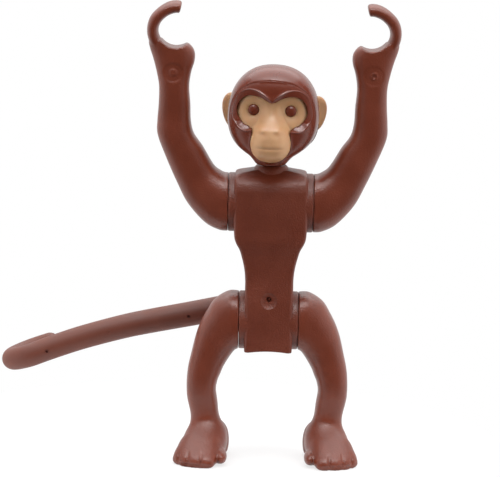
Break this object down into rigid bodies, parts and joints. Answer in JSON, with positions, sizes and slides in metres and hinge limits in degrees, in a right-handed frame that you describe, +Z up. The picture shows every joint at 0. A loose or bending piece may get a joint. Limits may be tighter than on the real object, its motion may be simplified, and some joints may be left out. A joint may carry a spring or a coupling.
{
  "type": "toy monkey figure",
  "caption": "Small moulded toy monkey that stands with its arms raised, with swinging limbs, a turning head, gripping hands and a swivelling curled tail.",
  "frame": {"origin": "on the floor under the middle of the figure's box, in the pictured pose", "axes": "+Z up from the soles, -Y the way the figure faces, +X to the figure's own left"},
  "size_m": [0.0559, 0.0242, 0.0646],
  "materials": {
    "grained_brown": "fine spark eroded grain",
    "satin_brown": "satin",
    "glossy_brown": "polished",
    "soft_brown": "soft satin",
    "satin_beige": "satin"
  },
  "bodies": {
    "torso": {"torso_front": "grained_brown", "torso_back": "grained_brown"},
    "head": {"head_front": "glossy_brown", "head_back": "glossy_brown", "face_and_ears": "satin_beige"},
    "left_arm": {"left_arm": "satin_brown"},
    "right_arm": {"right_arm": "satin_brown"},
    "left_leg": {"left_leg": "satin_brown"},
    "right_leg": {"right_leg": "satin_brown"},
    "tail": {"tail": "soft_brown"}
  },
  "joints": [
    {"name": "neck", "type": "hinge", "parent": "torso", "child": "head", "pos_m": [0.0103, -0.0044, 0.03968], "axis": [0.0157, 0, 0.9999], "range_deg": [-86.5, 93.5]},
    {"name": "left_shoulder", "type": "hinge", "parent": "torso", "child": "left_arm", "pos_m": [0.01625, -0.0044, 0.0366], "axis": [1, 0, 0], "range_deg": [-90, 180]},
    {"name": "right_shoulder", "type": "hinge", "parent": "torso", "child": "right_arm", "pos_m": [0.00435, -0.0044, 0.0366], "axis": [1, 0, 0], "range_deg": [-90, 180]},
    {"name": "left_hip", "type": "hinge", "parent": "torso", "child": "left_leg", "pos_m": [0.01447, -0.0044, 0.01985], "axis": [-1, 0, 0], "range_deg": [-30, 90]},
    {"name": "right_hip", "type": "hinge", "parent": "torso", "child": "right_leg", "pos_m": [0.00613, -0.0044, 0.01985], "axis": [-1, 0, 0], "range_deg": [-30, 90]},
    {"name": "tail_swivel", "type": "hinge", "parent": "torso", "child": "tail", "pos_m": [0.0103, 0.0001, 0.0213], "axis": [0, 1, 0], "range_deg": [-180, 60]}
  ]
}
